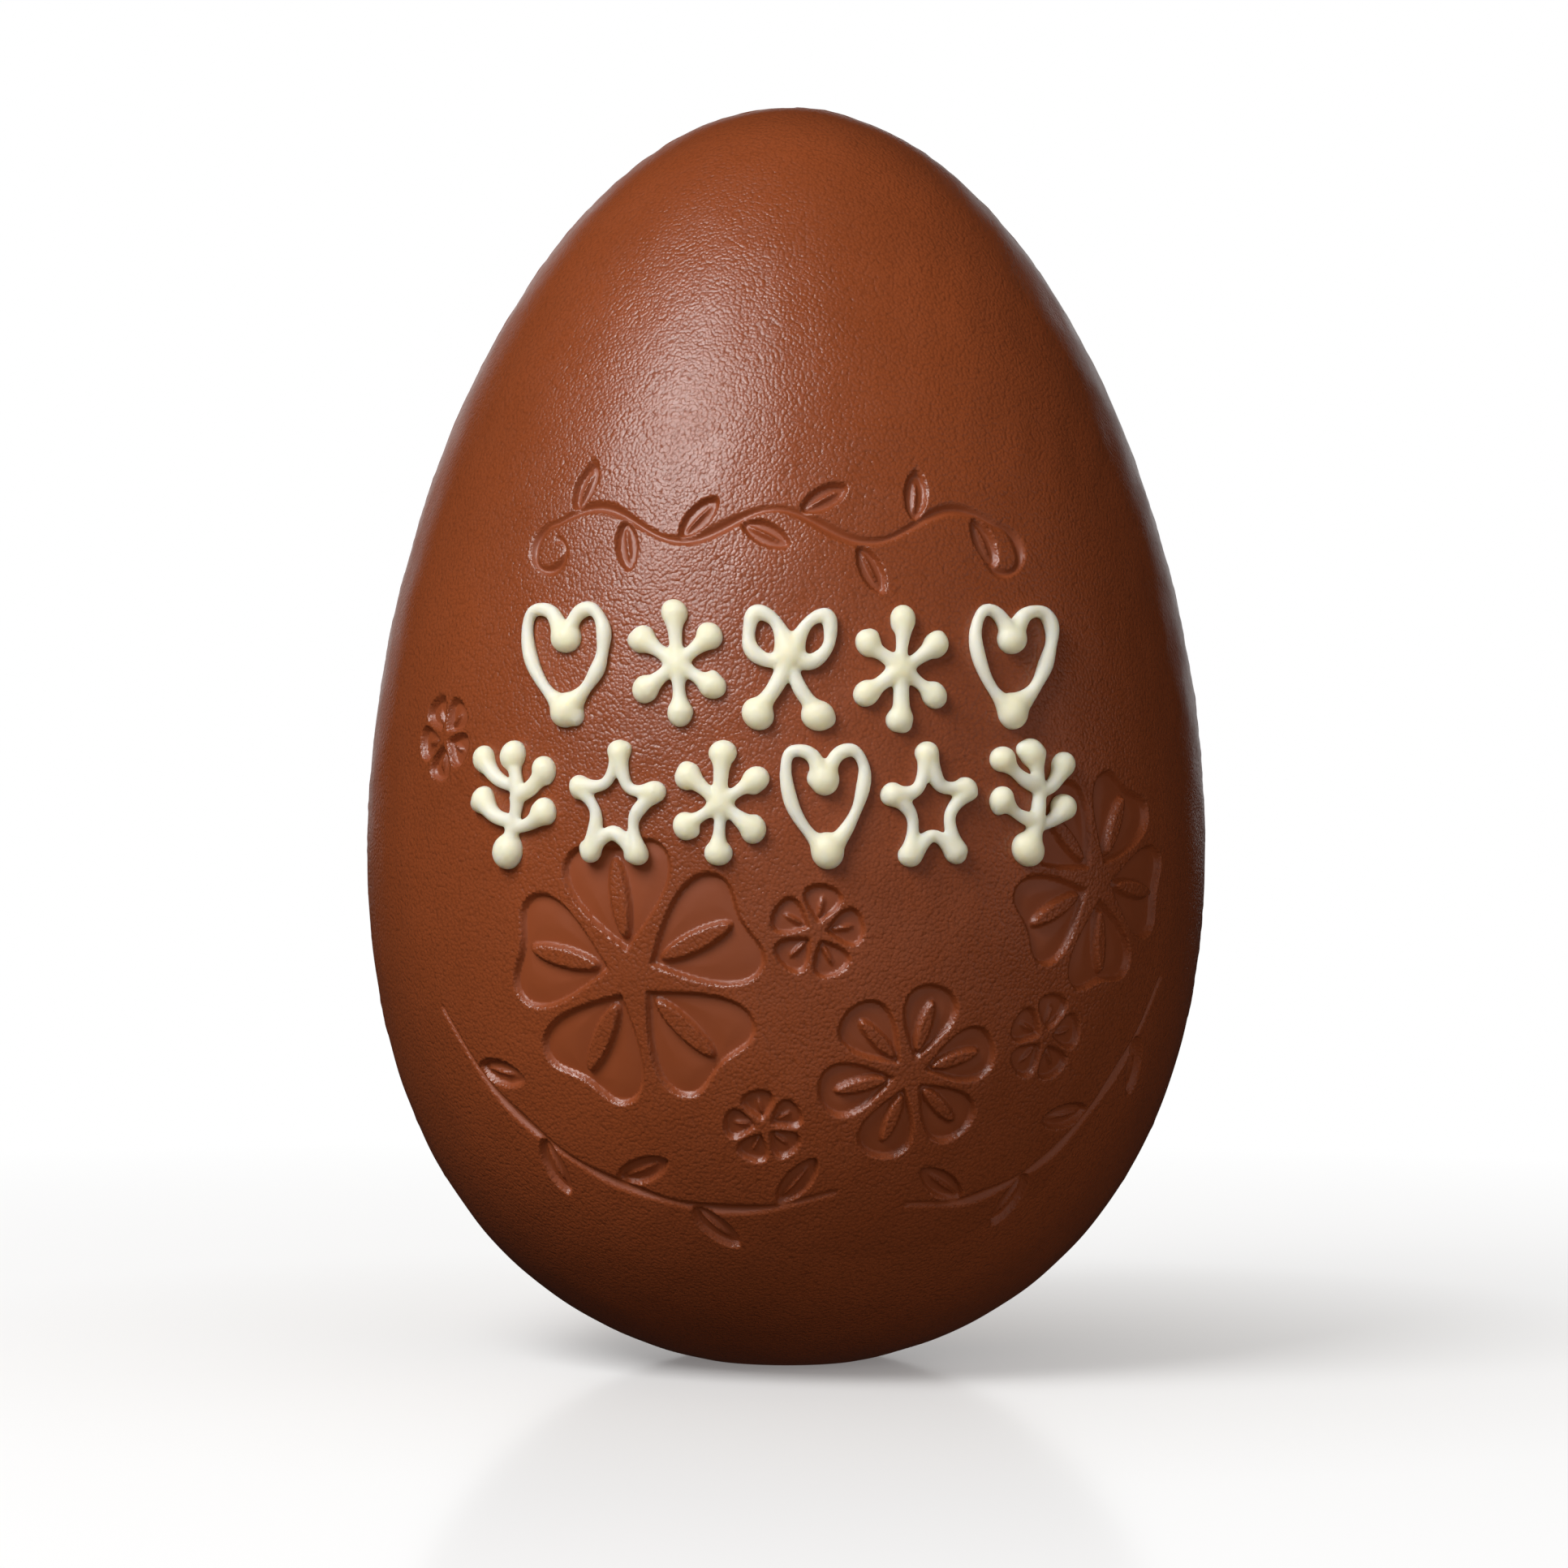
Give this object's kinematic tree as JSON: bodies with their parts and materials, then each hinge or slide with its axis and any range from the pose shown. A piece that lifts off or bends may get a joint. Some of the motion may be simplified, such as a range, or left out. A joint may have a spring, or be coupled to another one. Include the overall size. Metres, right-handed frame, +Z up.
{
  "type": "chocolate egg",
  "caption": "Moulded milk chocolate egg standing on its blunt end, with recessed blossoms, leafy stems and rows of piped white chocolate ornaments on its front.",
  "frame": {"origin": "centre of the small flat foot that the egg stands on", "axes": "+Z up through the pointed end, -Y out of the piped front, +X to the viewer's right when facing the front"},
  "size_m": [0.0972, 0.099, 0.145],
  "materials": {
    "milk_chocolate": "satin milk chocolate with a fine pebbled skin and smooth petal floors",
    "white_chocolate": "satin white chocolate, piped by hand"
  },
  "bodies": {
    "root": {"egg": "milk_chocolate", "piped_bow_1": "white_chocolate", "piped_daisy_1": "white_chocolate", "piped_daisy_2": "white_chocolate", "piped_daisy_3": "white_chocolate", "piped_heart_1": "white_chocolate", "piped_heart_2": "white_chocolate", "piped_heart_3": "white_chocolate", "piped_sprig_1": "white_chocolate", "piped_sprig_2": "white_chocolate", "piped_star_1": "white_chocolate", "piped_star_2": "white_chocolate"}
  },
  "joints": []
}
